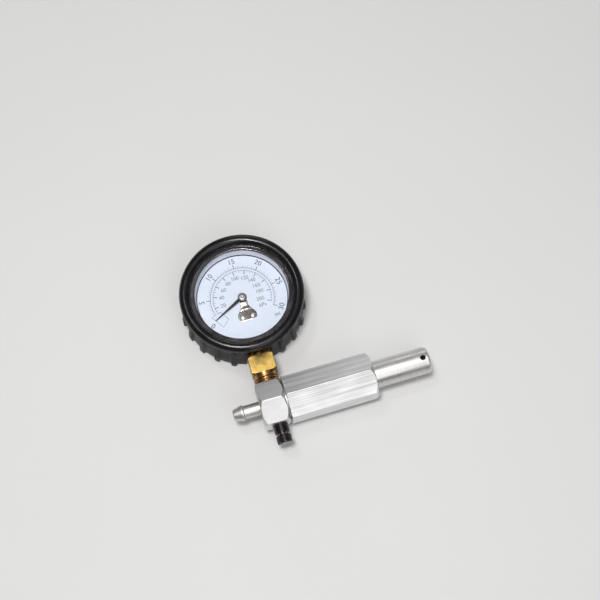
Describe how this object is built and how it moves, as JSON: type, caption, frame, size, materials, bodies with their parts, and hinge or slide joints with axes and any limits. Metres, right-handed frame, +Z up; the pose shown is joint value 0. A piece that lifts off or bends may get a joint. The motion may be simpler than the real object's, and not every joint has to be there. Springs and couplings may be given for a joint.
{
  "type": "carburettor pressure gauge with hand pump",
  "caption": "Round dial pressure gauge in a ribbed rubber boot on a brass stem, above a hexagon hand pump with a sliding plunger, a hose barb and a push-button bleed valve.",
  "frame": {"origin": "on the surface that the tool lies on, under the middle of its bounding box", "axes": "+X along the pump towards the plunger's end, +Y along the stem towards the dial, +Z up out of the dial's face"},
  "size_m": [0.1164, 0.1135, 0.026],
  "materials": {
    "satin_aluminium": "satin milled aluminium",
    "drawn_aluminium": "drawn aluminium bar with lengthwise lines",
    "turned_aluminium": "fine turned aluminium",
    "dark_nickel": "dark bright nickel plating",
    "steel": "bright steel",
    "brass": "machined brass",
    "bronze": "phosphor bronze",
    "painted_steel": "glossy black enamel",
    "white_plastic": "white moulded plastic",
    "rubber": "black seal rubber",
    "boot_rubber": "glossy black moulded rubber",
    "clear_lens": "clear polished lens",
    "dial_white": "cool white enamel with printed scales",
    "chrome": "bright plated metal",
    "pointer_black": "black enamel"
  },
  "bodies": {
    "gauge_body": {"valve_block": "satin_aluminium", "check_seat": "brass", "check_ball": "steel", "check_spring": "steel", "hose_barb": "turned_aluminium", "valve_housing": "dark_nickel", "pump_barrel": "drawn_aluminium", "gauge_socket": "brass", "gauge_case": "painted_steel", "case_screws": "steel", "spacer_ring": "white_plastic", "lens_gasket": "rubber", "lens": "clear_lens", "bezel_ring": "painted_steel", "dial_plate": "dial_white", "rubber_boot": "boot_rubber", "rear_plate": "chrome", "front_plate": "chrome", "plate_pillars": "brass", "plate_screws": "chrome", "base_screws": "steel", "hairspring_stud": "brass", "bourdon_tube": "bronze", "hairspring": "bronze", "return_spring": "steel", "button_spring": "steel"},
    "plunger": {"plunger_tube": "turned_aluminium", "piston_head": "turned_aluminium", "piston_seal": "rubber", "piston_bumper": "rubber", "inlet_ball": "steel", "inlet_ball_retainer": "steel"},
    "bleed_button": {"button_cap": "dark_nickel", "button_stem": "steel", "poppet_seal": "rubber"},
    "sector": {"sector_gear": "brass", "sector_arbor": "steel"},
    "pointer_arbor": {"pinion_arbor": "steel", "pointer": "pointer_black", "pointer_cap": "chrome"},
    "tube_end": {"tube_tip": "brass"},
    "link": {"link_bar": "brass"}
  },
  "joints": [
    {"name": "plunger_slide", "type": "slide", "parent": "gauge_body", "child": "plunger", "axis": [1, 0, 0], "range_m": [-0.02, 0], "stiffness_N_per_m": 250, "springref_m": 0.01, "deforming": ["return_spring"]},
    {"name": "button_press", "type": "slide", "parent": "gauge_body", "child": "bleed_button", "axis": [0, 1, 0], "range_m": [0, 0.001], "stiffness_N_per_m": 400, "springref_m": -0.002, "deforming": ["button_spring"]},
    {"name": "sector_turn", "type": "hinge", "parent": "gauge_body", "child": "sector", "pos_m": [-0.01772, 0.01493, 0.01282], "axis": [0, 0, 1], "range_deg": [0, 30.25], "stiffness_Nm_per_rad": 0.002},
    {"name": "pointer_turn", "type": "hinge", "parent": "gauge_body", "child": "pointer_arbor", "pos_m": [-0.02495, 0.02355, 0.01282], "axis": [0, 0, 1], "range_deg": [-242.5, 0.5], "deforming": ["hairspring"]},
    {"name": "tube_flex", "type": "hinge", "parent": "gauge_body", "child": "tube_end", "pos_m": [-0.02715, 0.02722, 0.01282], "axis": [0, 0, 1], "range_deg": [-0.1, 4.7], "deforming": ["bourdon_tube"]},
    {"name": "link_turn", "type": "hinge", "parent": "sector", "child": "link", "pos_m": [-0.01498, 0.01276, 0.01282], "axis": [0, 0, 1], "range_deg": [-33.99, 0.5]}
  ],
  "couplings": [
    {"joint": "pointer_turn", "follows": "sector_turn", "ratio": -8},
    {"joint": "tube_flex", "follows": "sector_turn", "ratio": 0.1519},
    {"joint": "link_turn", "follows": "sector_turn", "ratio": -1.1072}
  ]
}
